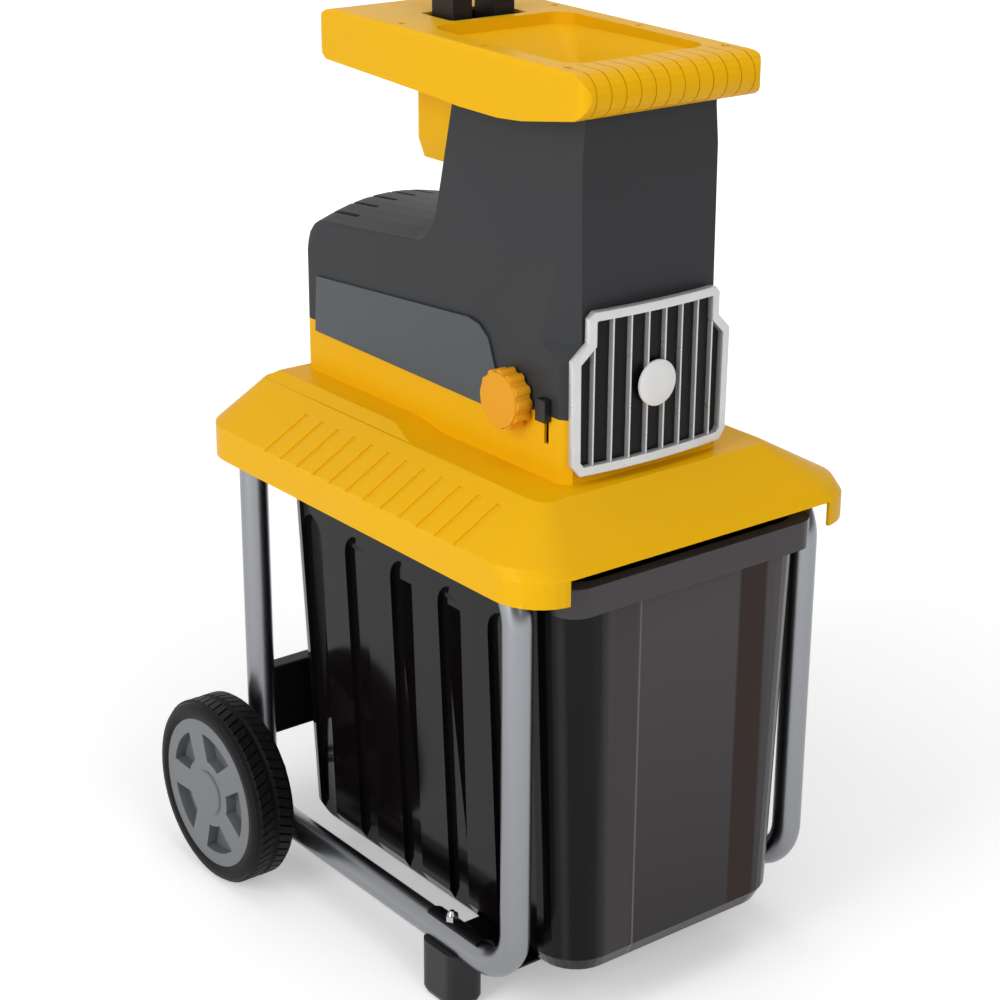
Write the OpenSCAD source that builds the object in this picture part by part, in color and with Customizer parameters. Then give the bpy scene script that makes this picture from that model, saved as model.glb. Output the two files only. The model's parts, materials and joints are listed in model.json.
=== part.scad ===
// Quiet garden shredder on a two-wheeled tube frame with a pull-out collection box.
// Origin on the floor under the middle of the machine, +Z up, the grille faces -Y.

/* [Frame] */
// Outside diameter of the frame tube
tube_d = 28.6; // [25:0.1:32]
// Wall of the frame tube
tube_wall = 1.5; // [1:0.1:3]
// Distance of each side frame from the middle plane
frame_x = 175; // [172:0.5:180]
// Middle of the front legs
front_leg_y = -241; // [-250:1:-235]
// Middle of the rear legs and of the axles
rear_leg_y = 192; // [188:1:200]
// Height of the bottom runners
runner_z = 65; // [60:1:70]
// Distance of the top rails below the upper edge of the cover's skirt
rail_drop = 17; // [16:1:22]
// Radius of the bends, on the tube's middle line
bend_r = 50; // [40:1:60]
// Length of each front foot
foot_len = 58; // [50:1:70]
// Width of each front foot
foot_w = 40; // [32:1:48]
// Rear end of each front foot
foot_rear_y = -114; // [-120:1:-110]
// Width along Y of the straps of the front cross plate
plate_len = 78; // [70:1:78]
// Thickness of the front cross plate
plate_t = 2.5; // [2:0.5:4]
// Diameter of the frame bolts
bolt_d = 8; // [6:1:8]
// Lower edge of the rear cross beam
beam_z = 145; // [135:1:155]
// Height of the rear cross beam
beam_h = 77; // [60:1:90]
// Depth of the rear cross beam
beam_depth = 22; // [18:1:26]

/* [Wheels] */
// Outside radius of the tyres, and height of the axles
tyre_r = 100; // [95:1:105]
// Radius of the rims where the tyres sit
rim_r = 80.5; // [76:0.5:84]
// Width of the tyres
tyre_w = 50; // [44:1:54]
// Inner side of each wheel from the middle plane
wheel_x = 197; // [195:1:205]
// Diameter of the axles
axle_d = 12; // [10:0.5:14]
// Number of spokes in a rim
spokes = 5; // [3:1:7]

/* [Base cover] */
// Half width of the base cover
cover_x = 202; // [198:1:208]
// Front edge of the base cover
cover_front = -292; // [-300:1:-288]
// Rear edge of the base cover
cover_rear = 254; // [246:1:262]
// Corner radius of the base cover in plan
cover_r = 50; // [40:1:55]
// Lower edge of the skirt
skirt_z = 458; // [450:1:462]
// Height of the skirt at the sides
skirt_rise = 34; // [30:1:40]
// Lower edge of the roof at the front
front_lip_z = 482; // [478:1:484]
// Height of the front part of the flat top
deck_z = 528; // [524:1:532]
// Height of the raised pad under the rear of the housing
pad_z = 535; // [532:1:540]
// Half width of the flat top
deck_x = 138; // [130:1:144]
// Wall of the base cover
cover_wall = 3.5; // [2.5:0.5:4.5]
// Half width of the notch over the front of the collection box
notch_x = 157; // [155:1:165]
// Number of shallow treads on each sloping side of the cover
treads = 12; // [8:1:12]
// Distance between treads
tread_pitch = 28; // [24:1:28]
// Depth of a tread
tread_depth = 1.5; // [1:0.1:2]

/* [Collection box] */
// Half width of the box at its rim
box_x = 154; // [148:1:154]
// Half width of the box at its bottom
box_foot_x = 138; // [130:1:142]
// Front face of the box
box_front = -275; // [-280:1:-270]
// Rear face of the box at its rim
box_rear = 182; // [170:1:182]
// Bottom of the box
box_z = 55; // [53:1:60]
// Top of the box
box_top = 466; // [460:1:470]
// Wall of the box
box_wall = 3; // [2:0.5:4]
// Height of the front lip that is also the pull
lip_h = 28; // [22:1:32]
// Number of flutes in each side of the box
flutes = 5; // [3:1:5]
// Distance between flutes
flute_pitch = 77; // [70:1:80]
// Width of a flute
flute_w = 36; // [28:1:44]
// Depth of a flute
flute_depth = 6; // [4:0.5:8]

/* [Housing] */
// Half width of the motor housing
head_x = 94; // [92:0.5:97]
// Front face of the motor housing
head_front = -206; // [-210:1:-204]
// Rear face of the motor housing
head_rear = 212; // [208:1:218]
// Height where the lower and upper housing meet
split_z = 589; // [585:1:592]
// Height of the hump's side edges at the tower
hump_z = 706; // [703:1:714]
// Half width of the tower at its top
tower_x = 76; // [74:1:80]
// Height of the tower
tower_z = 852; // [845:1:856]
// Front of the tower at its top
tower_front = -203; // [-205:1:-199]
// Rear of the tower at its top
tower_rear = -16; // [-18:1:-12]
// Wall of the housings
head_wall = 3; // [2.5:0.5:3.5]
// Thickness of the side trim panels
trim_t = 2.5; // [2:0.5:3]
// Depth of the front grille
grille_t = 7; // [5:0.5:9]
// Width of the border of the grille
grille_rim = 6; // [5:0.5:8]
// Number of upright bars in the grille
grille_bars = 8; // [6:2:10]
// Width of a grille bar
bar_w = 3.5; // [3:0.5:4.5]
// Diameter of the blank disc in the grille
badge_d = 47; // [40:1:52]

/* [Hopper] */
// Half width of the hopper
hopper_x = 104; // [102:1:110]
// Front of the hopper
hopper_front = -235; // [-240:1:-230]
// Rear of the hopper
hopper_rear = 166; // [162:1:172]
// Height where the hopper's two shells meet
hopper_split = 879; // [876:1:882]
// Radius of the rounded front end of the hopper
front_nose = 20.5; // [19:0.5:22]
// Radius of the rounded rear end of the hopper
rear_nose = 25; // [23:0.5:26]
// Wall of the hopper shells
hopper_wall = 3; // [2.5:0.5:4]
// Number of grip grooves on the front end
grip_grooves = 12; // [6:1:12]
// Half width of the feed throat
throat_x = 47; // [42:1:48]
// Wall of the feed chute
chute_wall = 3; // [2:0.5:4]
// Height of the plunger above the floor
plunger_top = 1010; // [990:5:1040]
// Width of each plunger prong
prong_w = 23; // [20:1:26]
// Gap between the plunger prongs
prong_gap = 27; // [24:1:32]
// Depth of the plunger prongs
prong_depth = 33; // [28:1:36]

/* [Drive] */
// Sideways place of the cutter drum
drum_x = 14; // [12:0.5:16]
// Height of the cutter drum, its plate and the knob
drum_z = 595; // [593:0.5:598]
// Outside diameter of the cutter drum
drum_d = 80; // [74:1:82]
// Length of the cutter drum
drum_len = 58; // [50:1:60]
// Number of cutter blades
blades = 8; // [6:1:10]
// Diameter of the drum shaft
shaft_d = 18; // [16:0.5:20]
// Height of the motor
motor_z = 632; // [630:0.5:636]
// Outside radius of the motor case
motor_r = 58; // [54:0.5:60]
// Teeth of each pinion
pinion_teeth = 12; // [12:1:14]
// Teeth of each large gear
gear_teeth = 72; // [68:1:74]
// Tooth size of the motor stage
module_1 = 1; // [0.95:0.01:1.05]
// Tooth size of the drum stage
module_2 = 1.5; // [1.45:0.01:1.5]
// Side play between teeth, on the pitch circle
backlash = 0.12; // [0.08:0.01:0.2]
// Running clearance on each radius of a shaft
run_gap = 0.05; // [0.02:0.01:0.1]

/* [Controls] */
// Middle of the adjusting knob along the machine
knob_y = -133; // [-136:0.5:-130]
// Diameter of the adjusting knob
knob_d = 57; // [48:1:58]
// Thickness of the adjusting knob
knob_t = 18; // [14:1:24]
// Number of lobes on the adjusting knob
knob_lobes = 12; // [8:1:16]
// Diameter of the adjusting spindle
spindle_d = 12; // [10:0.5:14]
// Middle of the lock slider along the machine
slider_y = -178; // [-182:1:-174]
// Height of the lock slider's button
slider_h = 21; // [18:1:24]
// Travel of the lock slider
slider_travel = 18; // [14:1:20]
// Diameter of the start and stop buttons
button_d = 18; // [14:1:20]

/* [Hidden] */
// Gap between faces that slide or seat beside each other
seat_gap = 0.3;
// Overlap that lets a cut pass through a wall
cut = 1;
tube_r = tube_d / 2;
skirt_top = skirt_z + skirt_rise;
top_rail_z = skirt_top - rail_drop;
axle_z = tyre_r;
axle_r = axle_d / 2;
foot_front_y = foot_rear_y - foot_len;
bolt_y = foot_rear_y - foot_len / 2;
strap_y = [foot_rear_y + 2 - plate_len, foot_rear_y + 2];
plate_front = strap_y[0] - 18;
bolt_r = bolt_d / 2;
bolt_low = 6;
bolt_seat = 12;
hub_r = 18;
hub_inset = 4;
hub_seat = 38;
nut_t = 7;
web_t = 16;
rim_face = tyre_w - 2;
rim_lip = 7;
window_r = [37, rim_r - 14];
window_depth = 12;
cap_r = 25;
cover_retreat = (skirt_top - front_lip_z) * 1.2;
deck_front = cover_front + 66;
deck_rear = cover_rear - 20;
ramp_y = [-24, 18];
tread_len = 56;
tread_y = -182;
discharge_x = 52;
chamber_front = -176;
chamber_rear = -98;
chamber_top = 656;
chamber_left = -66;
chamber_right = 62;
chamber_wall = 4;
rail_x = frame_x - tube_r - 0.3;
rail_t = 1.5;
rail_shelf = 4.7;
rail_z = 452;
rail_y = [deck_front + 18, rear_leg_y - 30];
flange_t = 3.5;
flute_top = 414;
step_z = 640;
step_rise = 16;
shoulder_x = 78;
corner_cut = [8, 11];
fillet_r = 40;
hump_start = fillet_r - 2;
hump_r = 28;
hump_drop = 12;
hump_edge = 5;
hump_crown = 16;
louvre_w = 4.5;
louvre_pitch = 23;
louvre_len = 56;
head_corner = 9;
grille_y = head_front - grille_t;
grille_low = 538;
grille_high = 689;
grille_x = 92;
window_inset = 10;
badge_z = 612;
slider_z = 584;
slider_w = 14;
slot_w = 6.4;
trim_z = 575;
front_nose_z = hopper_split + 2;
rear_nose_z = hopper_split + 5;
hopper_top = rear_nose_z + rear_nose;
tower_cap = tower_z + 16;
hopper_edge = 7;
groove_w = 1.6;
groove_pitch = 16.5;
groove_len = 46;
tray_x = 80;
tray_front = -188;
tray_rear = 18;
tray_z = hopper_split + 16;
throat_front = -150;
throat_rear = -42;
chute_front = -172;
chute_knee = 720;
pocket_x = 48;
pocket_y = [2, 82];
pocket_z = 772;
prong_y = 38;
prong_low = pocket_z + hopper_wall + seat_gap;
gear_w2 = 18;
gear_w1 = 12;
gear2_y = -88;
gear1_y = -62;
case_y = [-92, -28];
case_wall = 6;
cover_t = 6;
lay_r = 6;
motor_x = 0;
motor_y = [-28, 150];
shield_t = 8;
stator_y = [10, 120];
rotor_r = 32.5;
motor_shaft_r = 6;
pinion_bore_r = 4;
fan_y = 162;
fan_t = 18;
fan_r = 50;
lay_bush_r = 9;
drum_bush_r = 16;
front_bush = [11, 4];
rear_bush = [14, 6];
plate_face = drum_x - drum_d / 2 - 3;
plate_w = 16;
spindle_tip = 4;
knob_gap = 3;
switch_x = 38;
switch_z = [602, 658];
inlet_x = 22;
inlet_z = [546, 582];

// Outlines and basic solids

function arc(c, r, a0, a1, n = 8) = [for (i = [0:n]) let (a = a0 + (a1 - a0) * i / n)
    [c[0] + r * cos(a), c[1] + r * sin(a)]];
function rounded(x0, x1, y0, y1, r, n = 8) = concat(
    arc([x1 - r, y0 + r], r, -90, 0, n), arc([x1 - r, y1 - r], r, 0, 90, n),
    arc([x0 + r, y1 - r], r, 90, 180, n), arc([x0 + r, y0 + r], r, 180, 270, n));
function ring(outline, z) = [for (p = outline) [p[0], p[1], z]];

// Skin through rings that each have the same number of points
module loft(rings) {
    n = len(rings[0]);
    last = len(rings) - 1;
    polyhedron(points = [for (r = rings) each r],
        faces = concat([[for (i = [0:n - 1]) i]],
            [[for (i = [n - 1:-1:0]) last * n + i]],
            [for (k = [0:last - 1], i = [0:n - 1]) let (j = (i + 1) % n)
                each [[k * n + i, (k + 1) * n + i, (k + 1) * n + j],
                      [k * n + i, (k + 1) * n + j, k * n + j]]]),
        convexity = 6);
}

// Sheet drawn in Y and Z, run along X
module along_x(x0, x1) {
    translate([x0, 0, 0]) rotate([90, 0, 90]) linear_extrude(x1 - x0, convexity = 6) children();
}

// Sheet drawn in X and Z, run along Y
module along_y(y0, y1) {
    translate([0, y1, 0]) rotate([90, 0, 0]) linear_extrude(y1 - y0, convexity = 6) children();
}

module rod_x(r, x0, x1, y, z) {
    translate([x0, y, z]) rotate([0, 90, 0]) cylinder(r = r, h = x1 - x0, $fn = 48);
}

module rod_y(r, y0, y1, x, z) {
    translate([x, y1, z]) rotate([90, 0, 0]) cylinder(r = r, h = y1 - y0, $fn = 48);
}

module rod_z(r, z0, z1, x, y) {
    translate([x, y, z0]) cylinder(r = r, h = z1 - z0, $fn = 48);
}

module block(x0, x1, y0, y1, z0, z1) {
    translate([x0, y0, z0]) cube([x1 - x0, y1 - y0, z1 - z0]);
}

module both_sides() {
    children();
    mirror([1, 0, 0]) children();
}

module bush(r_out, r_in, y0, y1, x, z) {
    difference() {
        rod_y(r_out, y0, y1, x, z);
        rod_y(r_in, y0 - cut, y1 + cut, x, z);
    }
}

// Frame

module quarter_bend(y, z, start, r, over) {
    translate([0, y, z]) rotate([90, 0, 90]) rotate([0, 0, start - over])
        rotate_extrude(angle = 90 + 2 * over, $fn = 64) translate([bend_r, 0]) circle(r = r, $fn = 48);
}

// One side frame in its own plane: the rear leg, the runner and the front leg
module leg_path(r, end) {
    rod_z(r, runner_z + bend_r - end, top_rail_z + tube_r + end, 0, rear_leg_y);
    rod_y(r, front_leg_y + bend_r - end, rear_leg_y - bend_r + end, 0, runner_z);
    rod_z(r, runner_z + bend_r - end, top_rail_z - bend_r + end, 0, front_leg_y);
}

// Its three bends, below at the rear, below at the front and above at the front
module bend_path(r, over) {
    quarter_bend(rear_leg_y - bend_r, runner_z + bend_r, 270, r, over);
    quarter_bend(front_leg_y + bend_r, runner_z + bend_r, 180, r, over);
    quarter_bend(front_leg_y + bend_r, top_rail_z - bend_r, 90, r, over);
}

module side_tubes() {
    difference() {
        leg_path(tube_r, 0);
        leg_path(tube_r - tube_wall, cut);
        rod_z(bolt_r + seat_gap, 0, runner_z + tube_d, 0, bolt_y);
    }
    difference() {
        rod_y(tube_r, front_leg_y + bend_r, rear_leg_y, 0, top_rail_z);
        rod_y(tube_r - tube_wall, front_leg_y + bend_r - cut, rear_leg_y + cut, 0, top_rail_z);
        rod_z(tube_r + seat_gap, top_rail_z - tube_d, top_rail_z + tube_d, 0, rear_leg_y);
    }
}

module side_bends() {
    difference() {
        bend_path(tube_r, 0);
        bend_path(tube_r - tube_wall, 1);
        rod_x(axle_r + seat_gap, -tube_d, tube_d, rear_leg_y, axle_z);
    }
}

module left_frame_tube() {
    color("silver") translate([-frame_x, 0, 0]) side_tubes();
}

module right_frame_tube() {
    color("silver") translate([frame_x, 0, 0]) mirror([1, 0, 0]) side_tubes();
}

module left_frame_bends() {
    color("silver") translate([-frame_x, 0, 0]) side_bends();
}

module right_frame_bends() {
    color("silver") translate([frame_x, 0, 0]) mirror([1, 0, 0]) side_bends();
}

// Flat plate under the box with a strap over each runner
module front_cross_plate() {
    in_r = tube_r + seat_gap;
    out_r = in_r + plate_t;
    plate_z = runner_z - tube_r;
    color("dimgray") both_sides() difference() {
        union() {
            block(-cut / 2, frame_x - out_r + plate_t, plate_front, strap_y[1], plate_z - plate_t,
                plate_z);
            block(frame_x - out_r, frame_x - in_r, strap_y[0], strap_y[1], plate_z - plate_t, runner_z);
            intersection() {
                rod_y(out_r, strap_y[0], strap_y[1], frame_x, runner_z);
                block(frame_x - out_r, frame_x + out_r * 0.4, strap_y[0], strap_y[1], runner_z,
                    runner_z + out_r);
            }
        }
        rod_y(in_r, strap_y[0] - cut, strap_y[1] + cut, frame_x, runner_z);
        rod_z(bolt_r + seat_gap, runner_z, runner_z + tube_d, frame_x, bolt_y);
    }
}

// Box section set between the rear legs
module rear_cross_beam() {
    beam_end = frame_x - tube_r - seat_gap;
    beam_y = rear_leg_y - 5;
    color("black") along_x(-beam_end, beam_end) polygon(rounded(beam_y, beam_y + beam_depth, beam_z,
        beam_z + beam_h, 4, 4));
}

// Short rod through each rear bend, with a nut inside it, a spacer before the wheel and a washer after it
module stub_axles() {
    hub_end = wheel_x + hub_seat;
    nut_x = frame_x - tube_r - seat_gap;
    color("lightgray") both_sides() union() {
        rod_x(axle_r, nut_x - nut_t, hub_end + 2.3, rear_leg_y, axle_z);
        rod_x(axle_r + 4, nut_x - nut_t, nut_x, rear_leg_y, axle_z);
        rod_x(axle_r + 4, frame_x + tube_r + seat_gap, wheel_x - hub_inset - seat_gap, rear_leg_y, axle_z);
        rod_x(axle_r + 4, hub_end + seat_gap, hub_end + 2.3, rear_leg_y, axle_z);
    }
}

module foot() {
    saddle_r = tube_r + seat_gap;
    color("black") difference() {
        loft([ring(rounded(-foot_w / 2 + 3, foot_w / 2 - 3, foot_front_y + 3, foot_rear_y - 3, 11, 6), 0),
            ring(rounded(-foot_w / 2, foot_w / 2, foot_front_y, foot_rear_y, 14, 6), 6),
            ring(rounded(-foot_w / 2, foot_w / 2, foot_front_y, foot_rear_y, 14, 6), runner_z - 7)]);
        rod_y(saddle_r, foot_front_y - cut, foot_rear_y + cut, 0, runner_z);
        block(-foot_w, -saddle_r, plate_front, strap_y[1] + seat_gap, runner_z - tube_r - plate_t - seat_gap,
            runner_z);
        rod_z(bolt_r + seat_gap, -cut, runner_z, 0, bolt_y);
        rod_z(bolt_r * 2 + seat_gap, -cut, bolt_seat, 0, bolt_y);
    }
}

module right_foot() {
    translate([frame_x, 0, 0]) foot();
}

module left_foot() {
    mirror([1, 0, 0]) right_foot();
}

// Foot bolts with domed nuts
module frame_bolts() {
    nut_z = runner_z + tube_r + seat_gap + plate_t + seat_gap;
    color("lightgray") both_sides() translate([frame_x, bolt_y, 0]) {
        translate([0, 0, bolt_low]) cylinder(r = bolt_r, h = nut_z + 3 - bolt_low, $fn = 32);
        translate([0, 0, bolt_low]) cylinder(r = bolt_r * 1.7, h = bolt_seat - bolt_low - seat_gap, $fn = 6);
        translate([0, 0, nut_z]) cylinder(r = bolt_r * 1.7, h = 6, $fn = 6);
        translate([0, 0, nut_z + 6]) cylinder(r1 = bolt_r * 1.3, r2 = bolt_r * 0.6, h = 4, $fn = 32);
    }
}

// Wheels

// Turns a profile of radius and height about the axle, measured out from the wheel's inner side
module wheel_turned(outline) {
    translate([wheel_x, rear_leg_y, axle_z]) rotate([0, 90, 0])
        rotate_extrude($fn = 96) polygon(outline);
}

module tyre() {
    shoulder = 6;
    groove = 3;
    color([0.15, 0.15, 0.16]) wheel_turned([[rim_r + seat_gap, 2], [tyre_r - shoulder, 0],
        [tyre_r, shoulder], [tyre_r, tyre_w / 2 - groove], [tyre_r - groove, tyre_w / 2],
        [tyre_r, tyre_w / 2 + groove], [tyre_r, tyre_w - shoulder], [tyre_r - shoulder, tyre_w],
        [rim_r + seat_gap, tyre_w - 2]]);
}

// Disc wheel with a blind pocket between each pair of spokes
module wheel_rim() {
    bore = axle_r + run_gap;
    web_at = rim_face - web_t;
    gap_angle = 360 / spokes * 0.66;
    color("gray") difference() {
        wheel_turned([[bore, -hub_inset], [hub_r, -hub_inset], [hub_r, web_at], [rim_r - rim_lip, web_at],
            [rim_r - rim_lip, 4], [rim_r, 4], [rim_r, rim_face], [hub_r + 2, rim_face],
            [hub_r + 2, hub_seat], [bore, hub_seat]]);
        for (i = [0:spokes - 1]) translate([wheel_x, rear_leg_y, axle_z])
            rotate([360 / spokes * (i + 0.5), 0, 0]) along_x(rim_face - window_depth, rim_face + cut)
                polygon(concat(arc([0, 0], window_r[1], -gap_angle / 2, gap_angle / 2, 10),
                    arc([0, 0], window_r[0], gap_angle / 3, -gap_angle / 3, 6)));
    }
}

module hub_cap() {
    color("gray") wheel_turned([[0, rim_face], [cap_r, rim_face], [cap_r, rim_face + 0.8],
        [cap_r - 2, tyre_w], [0, tyre_w]]);
}

module right_tyre() {
    tyre();
}

module left_tyre() {
    mirror([1, 0, 0]) tyre();
}

module right_wheel_rim() {
    wheel_rim();
}

module left_wheel_rim() {
    mirror([1, 0, 0]) wheel_rim();
}

module right_hub_cap() {
    hub_cap();
}

module left_hub_cap() {
    mirror([1, 0, 0]) hub_cap();
}

// Base cover

function cover_outline(inset, retreat) = rounded(-cover_x + inset, cover_x - inset,
    cover_front + inset + retreat, cover_rear - inset, cover_r - inset);
function deck_outline(inset, grow) = rounded(-deck_x - grow + inset, deck_x + grow - inset,
    deck_front - grow + inset, deck_rear + grow - inset, 14);

module cover_skin(inset, low) {
    loft([ring(cover_outline(inset, 0), low), ring(cover_outline(inset, 0), front_lip_z - inset),
        ring(cover_outline(inset, cover_retreat), skirt_top - inset),
        ring(deck_outline(inset, 0), deck_z - inset)]);
}

// Shallow sawtooth cut that runs from the skirt up the sloping side
module tread_cut(y) {
    lean = atan2(deck_z - skirt_top, cover_x - deck_x);
    translate([cover_x, y, skirt_top]) rotate([0, 180 + lean, 0])
        along_x(-4, tread_len) polygon([[0, -cut], [0, tread_depth], [-9, 0], [-9, -cut]]);
}

module base_cover() {
    saddle_z = top_rail_z + tube_r + seat_gap;
    saddle_x = [frame_x - 12, frame_x + 12];
    saddle = [[saddle_x[0], saddle_z], [saddle_x[1], saddle_z],
        for (x = [saddle_x[1], saddle_x[0]]) [x, roof_under(x) + cover_wall / 2]];
    color("gold") difference() {
        union() {
            difference() {
                cover_skin(0, skirt_z);
                cover_skin(cover_wall, skirt_z - cut);
            }
            intersection() {
                along_x(-deck_x, deck_x) polygon(pad_side(0));
                along_y(deck_front, deck_rear) polygon([[-deck_x + 1, deck_z - cover_wall],
                    [deck_x - 1, deck_z - cover_wall], [deck_x - 1, deck_z - 1], [deck_x - 16, pad_z + 0.5],
                    [-deck_x + 16, pad_z + 0.5], [-deck_x + 1, deck_z - 1]]);
            }
            both_sides() for (y = [front_leg_y + 110, 30, rear_leg_y - 12])
                along_y(y, y + 24) polygon(saddle);
        }
        block(-notch_x, notch_x, cover_front - cut, cover_front + cover_r, skirt_z - cut, front_lip_z);
        block(-discharge_x, discharge_x, chamber_front + 8, chamber_rear - 4, deck_z - 20, deck_z + cut);
        along_x(-head_x - 14, head_x + 14) polygon([[ramp_y[1] + 2, deck_z - cover_wall - cut],
            [deck_rear - 16, deck_z - cover_wall - cut], [deck_rear - 16, pad_z - cover_wall],
            [ramp_y[1] + 6, pad_z - cover_wall]]);
        for (p = cover_screws()) rod_z(screw_r() + seat_gap, deck_z - 30, pad_z + cut, p[0], p[1]);
        both_sides() for (i = [0:treads - 1]) tread_cut(tread_y + i * tread_pitch);
    }
}

// Side view of the raised rear half of the deck, with its ramp
function pad_side(lift) = [[ramp_y[0], deck_z - cover_wall], [deck_rear - 4, deck_z - cover_wall],
    [deck_rear - 4, deck_z - 1], [deck_rear - 14, pad_z + lift], [ramp_y[1], pad_z + lift],
    [ramp_y[0], deck_z + lift]];

function screw_r() = 2.5;
function cover_screws() = [for (x = [-1, 1], y = [-60, 190]) [x * (head_x - 12), y]];

// Height of the underside of the side roof
function roof_under(x) = skirt_top - cover_wall
    + (cover_x - cover_wall - x) * (deck_z - skirt_top) / (cover_x - deck_x);

// Angle rails under the base cover that the rim of the box slides on
module guide_rails() {
    top = roof_under(rail_x) - seat_gap;
    color("dimgray") both_sides() union() {
        block(rail_x - rail_t, rail_x, rail_y[0], rail_y[1], rail_z, top);
        block(rail_x - rail_shelf, rail_x, rail_y[0], rail_y[1], rail_z, rail_z + rail_t);
    }
}

// Collection box

function box_side(z) = box_foot_x + (box_x - box_foot_x) * (z - box_z) / (box_top - box_z);
function box_outline(z, inset) = rounded(-box_side(z) + inset, box_side(z) - inset,
    box_front + inset, box_rear - (box_top - z) * 0.02 - inset, 45 - inset);

// Upright channel with a rounded arch at its top, cut into the side of the box
module flute(y, grow) {
    half = flute_w / 2 + grow;
    low = box_z - cut;
    lean = atan((box_x - box_foot_x) / (box_top - box_z));
    crown = 1.35 * half;
    sweep = acos(1 - half / crown);
    spring = flute_top + grow - low - crown * sin(sweep);
    right = arc([half - crown, spring], crown, 0, sweep, 5);
    translate([box_side(low) - flute_depth - grow, y, low]) rotate([0, lean, 0])
        along_x(0, 40) polygon(concat([[-half * 0.85, 0], [half * 0.85, 0]], right,
            [for (i = [4:-1:0]) [-right[i][0], right[i][1]]]));
}

module box_flutes(grow) {
    both_sides() for (i = [0:flutes - 1])
        flute((i - (flutes - 1) / 2) * flute_pitch - 30, grow);
}

module collection_box() {
    edge = 22;
    flange_x = rail_x - rail_t - seat_gap;
    flange_z = rail_z + rail_t + seat_gap;
    color([0.18, 0.13, 0.1]) difference() {
        union() {
            loft([ring(box_outline(box_z, edge), box_z), ring(box_outline(box_z, edge * 0.35), box_z + edge / 3),
                ring(box_outline(box_z + edge, 0), box_z + edge), ring(box_outline(box_top, 0), box_top)]);
            linear_step(flange_z, flange_t) polygon(rounded(-flange_x, flange_x, box_front + 30, box_rear, 20));
            linear_step(box_top - lip_h, lip_h) polygon(rounded(-box_x + 2, box_x - 2, box_front - 10,
                box_front + 60, 24));
        }
        difference() {
            loft([ring(box_outline(box_z, edge + box_wall), box_z + box_wall),
                ring(box_outline(box_z + edge, box_wall), box_z + edge + box_wall),
                ring(box_outline(box_top, box_wall), box_top + cut)]);
            box_flutes(box_wall);
        }
        box_flutes(0);
        block(-box_x + 24, box_x - 24, box_front - 7, box_front - 0.5, box_top - lip_h - cut,
            box_top - 4);
    }
}

module linear_step(z, h) {
    translate([0, 0, z]) linear_extrude(h) children();
}

// Motor housing

function tower_slope() = (head_x - tower_x) / (tower_z - step_z);
function head_plan(x, cx, cy, inset) = concat(
    [[-x + cx + inset, head_front + inset], [x - cx - inset, head_front + inset],
     [x - inset, head_front + cy]],
    arc([x - head_corner, head_rear - head_corner], head_corner - inset, 0, 90),
    arc([-x + head_corner, head_rear - head_corner], head_corner - inset, 90, 180),
    [[-x + inset, head_front + cy]]);
function head_wide(inset) = head_plan(head_x, corner_cut[0], corner_cut[1], inset);
function head_narrow(inset) = head_plan(head_x, head_x - shoulder_x, 46, inset);

// Side view of the tower, with a square space behind it for the hump
function head_side(inset, low) = [[head_front + inset, low], [head_front + inset, step_z + step_rise],
    [tower_front + inset, tower_z], [tower_front + inset, tower_cap], [tower_rear - inset, tower_cap],
    [tower_rear - inset, tower_z], [hump_start - fillet_r - inset, hump_z + fillet_r],
    [head_rear - inset, hump_z + fillet_r], [head_rear - inset, low]];

// Front view of the hump and tower
function head_face(inset, low) = [[-head_x + inset, low], [head_x - inset, low],
    [head_x - inset, step_z], [tower_x - inset, tower_z], [tower_x - inset, tower_cap],
    [-tower_x + inset, tower_cap], [-tower_x + inset, tower_z], [-head_x + inset, step_z]];

// Section across the hump: upright sides, eased edges and a crowned top
function hump_face(inset, low, z, rise) = let (r = hump_edge - inset, side = head_x + 2 - inset,
    w = head_x - (hump_z - step_z) * tower_slope() + 1 - inset, n = 10) concat(
    [[side, low], [side, step_z]], arc([w - r, z - r], r, 0, 90, 3),
    [for (i = [1:n - 1]) let (t = 1 - 2 * i / n) [(w - r) * t, z + rise * (1 - t * t)]],
    arc([-w + r, z - r], r, 90, 180, 3), [[-side, step_z], [-side, low]]);

// Place, edge height and crown of each section, from the rear wall over the top to the tower
function hump_rows(inset) = let (rear_z = hump_z - hump_drop) concat(
    [[head_rear + 2, rear_z - hump_r - 4, hump_crown]],
    [for (a = [80:-20:0]) [head_rear - hump_r + (hump_r - inset) * sin(a),
        rear_z - hump_r + (hump_r - inset) * cos(a), hump_crown]],
    [for (a = [0:17:85]) [hump_start - (fillet_r + inset) * sin(a),
        hump_z + fillet_r - (fillet_r + inset) * cos(a), hump_crown * cos(a)]]);

// Space of the hump with its crowned top, joined to a square space ahead of it
module hump_room(inset, low) {
    block(-head_x - cut, head_x + cut, head_front - cut, hump_start - fillet_r - inset + 0.4, low - cut,
        tower_cap + cut);
    loft([for (row = hump_rows(inset))
        [for (p = hump_face(inset, low - 60, row[1], row[2])) [p[0], row[0], p[1]]]]);
}

module head_body(inset, low) {
    intersection() {
        hump_room(inset, low);
        along_x(-head_x, head_x) polygon(head_side(inset, low));
        along_y(head_front, head_rear) polygon(head_face(inset, low));
        union() {
            linear_step(low, step_z - low) polygon(head_wide(inset));
            loft([ring(head_wide(inset), step_z), ring(head_narrow(inset), step_z + step_rise)]);
            linear_step(step_z + step_rise, tower_cap - step_z - step_rise) polygon(head_narrow(inset));
        }
    }
}

module grille_window() {
    along_y(head_front - cut, head_front + head_wall + cut)
        polygon(grille_outline(window_inset));
}

module slider_slot() {
    block(-head_x - cut, -head_x + head_wall + cut, slider_y - slot_w / 2, slider_y + slot_w / 2,
        slider_z - slider_travel - 4, slider_z + slider_h);
}

module knob_hole() {
    rod_x(spindle_d / 2 + 2, -head_x - cut, -head_x + head_wall + cut, knob_y, drum_z);
}

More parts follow.
